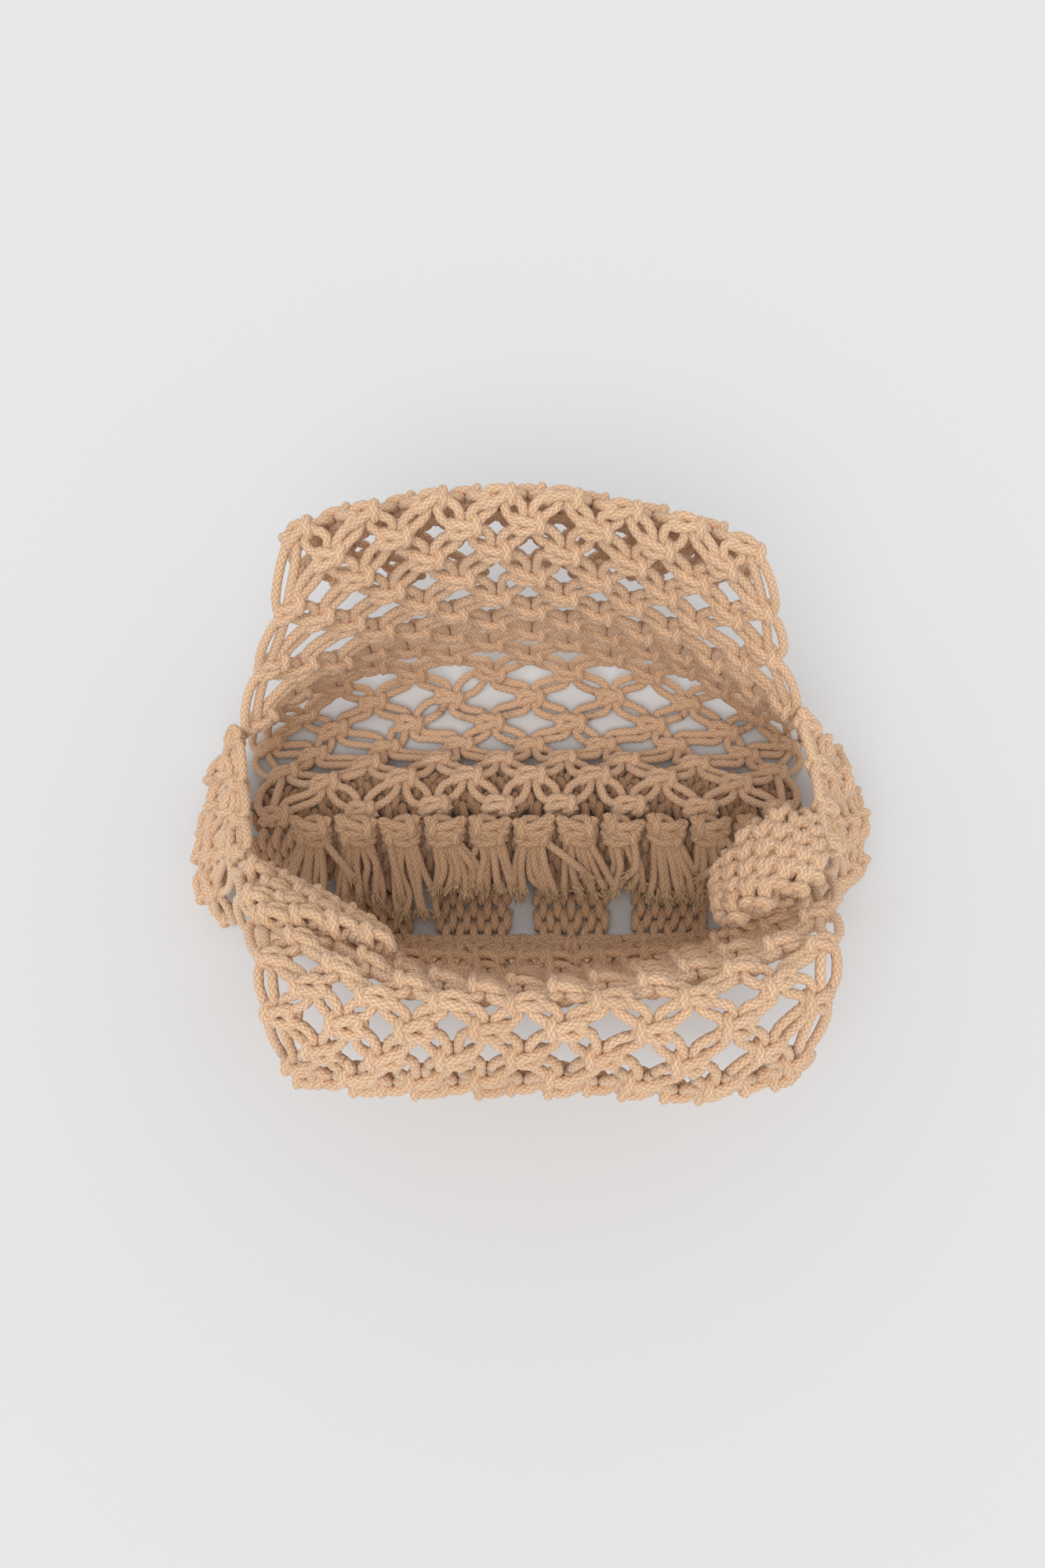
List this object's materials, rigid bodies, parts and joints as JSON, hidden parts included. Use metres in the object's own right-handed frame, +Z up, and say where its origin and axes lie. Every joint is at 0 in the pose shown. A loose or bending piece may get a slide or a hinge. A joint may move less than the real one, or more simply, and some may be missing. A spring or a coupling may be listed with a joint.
{
  "type": "macrame handbag",
  "caption": "Open-mouthed macrame handbag in beige braided cotton cord, slumped on its floor, with folded net cuffs and a fringe inside.",
  "frame": {"origin": "centre of the bounding box, at the surface it stands on", "axes": "+X to the bag's right as the picture looks at it, along its length; +Y to its taller back net; +Z up"},
  "size_m": [0.3774, 0.2932, 0.2363],
  "materials": {
    "cotton_net": "braided cotton cord in square knots, matte",
    "dense_knots": "braided cotton cord in tight square knots, matte",
    "rim_braid": "braided cotton cord, matte",
    "fringe": "cut braided cotton cord with frayed ends, matte"
  },
  "bodies": {
    "root": {"back_floor": "cotton_net", "back_wall": "cotton_net", "back_cuff": "cotton_net", "front_wall": "cotton_net", "front_cuff": "cotton_net", "side_left": "cotton_net", "side_right": "cotton_net", "front_floor": "dense_knots", "folded_block": "dense_knots", "rim_left": "rim_braid", "rim_right": "rim_braid", "fringe_tuft_01": "fringe", "fringe_tuft_02": "fringe", "fringe_tuft_03": "fringe", "fringe_tuft_04": "fringe", "fringe_tuft_05": "fringe", "fringe_tuft_06": "fringe", "fringe_tuft_07": "fringe", "fringe_tuft_08": "fringe", "fringe_tuft_09": "fringe", "fringe_tuft_10": "fringe", "fringe_tuft_11": "fringe"}
  },
  "joints": []
}
